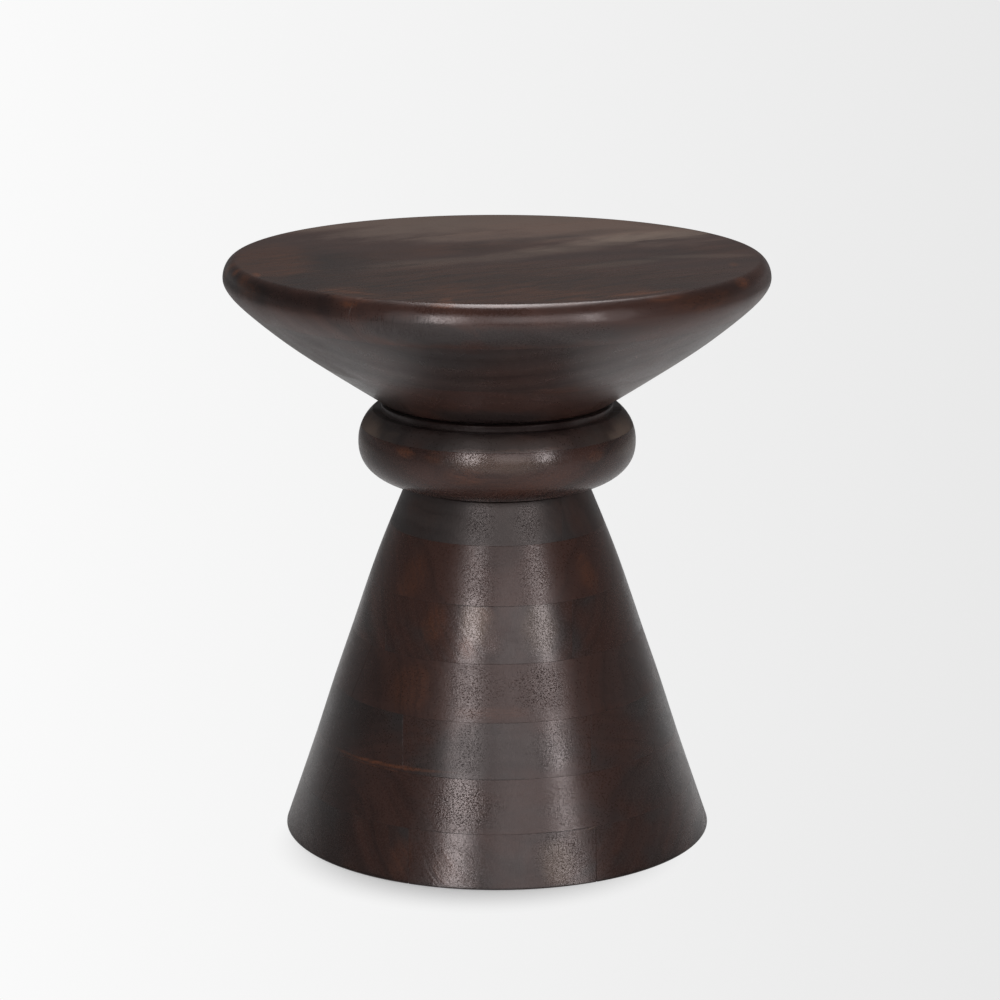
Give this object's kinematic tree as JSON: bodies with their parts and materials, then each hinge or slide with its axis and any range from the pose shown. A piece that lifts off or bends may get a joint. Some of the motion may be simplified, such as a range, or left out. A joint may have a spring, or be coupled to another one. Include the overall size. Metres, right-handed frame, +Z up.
{
  "type": "pedestal accent table",
  "caption": "Round side table turned from dark-stained glued hardwood boards: a conical foot, a bead collar and a shallow bowl-shaped solid top with a flat face.",
  "frame": {"origin": "on the floor at the centre of the four glides, on the table's turning axis", "axes": "+Z up along the turning axis, -Y towards the viewer of the picture, +X to the viewer's right"},
  "size_m": [0.4606, 0.4606, 0.4978],
  "materials": {
    "stained_wood": "dark espresso stain under a satin lacquer, rubbed through in places",
    "bare_wood": "unfinished, sanded",
    "zinc_steel": "bright zinc plate",
    "nylon": "moulded, matte"
  },
  "bodies": {
    "root": {"bowl_1_back": "stained_wood", "bowl_1_front": "stained_wood", "bowl_2_back": "stained_wood", "bowl_2_front": "stained_wood", "bowl_2_middle": "stained_wood", "bowl_3_back": "stained_wood", "bowl_3_front": "stained_wood", "bowl_3_middle_back": "stained_wood", "bowl_3_middle_front": "stained_wood", "collar_1_back": "stained_wood", "collar_1_front": "stained_wood", "collar_2_back": "stained_wood", "collar_2_front": "stained_wood", "cone_1_left": "stained_wood", "cone_1_middle": "stained_wood", "cone_1_right": "stained_wood", "cone_2_back": "stained_wood", "cone_2_front": "stained_wood", "cone_2_middle": "stained_wood", "cone_3_left": "stained_wood", "cone_3_middle": "stained_wood", "cone_3_right": "stained_wood", "cone_4_back": "stained_wood", "cone_4_front": "stained_wood", "cone_4_middle": "stained_wood", "cone_5_left": "stained_wood", "cone_5_middle": "stained_wood", "cone_5_right": "stained_wood", "cone_6_back": "stained_wood", "cone_6_front": "stained_wood", "cone_7_left": "stained_wood", "cone_7_right": "stained_wood", "glide_back_left": "nylon", "glide_back_right": "nylon", "glide_front_left": "nylon", "glide_front_right": "nylon", "glide_nail_back_left": "zinc_steel", "glide_nail_back_right": "zinc_steel", "glide_nail_front_left": "zinc_steel", "glide_nail_front_right": "zinc_steel", "high_dowel_back": "bare_wood", "high_dowel_front": "bare_wood", "low_dowel_back": "bare_wood", "low_dowel_front": "bare_wood", "rod_nut": "zinc_steel", "rod_washer": "zinc_steel", "threaded_insert": "zinc_steel", "tie_rod": "zinc_steel"}
  },
  "joints": []
}
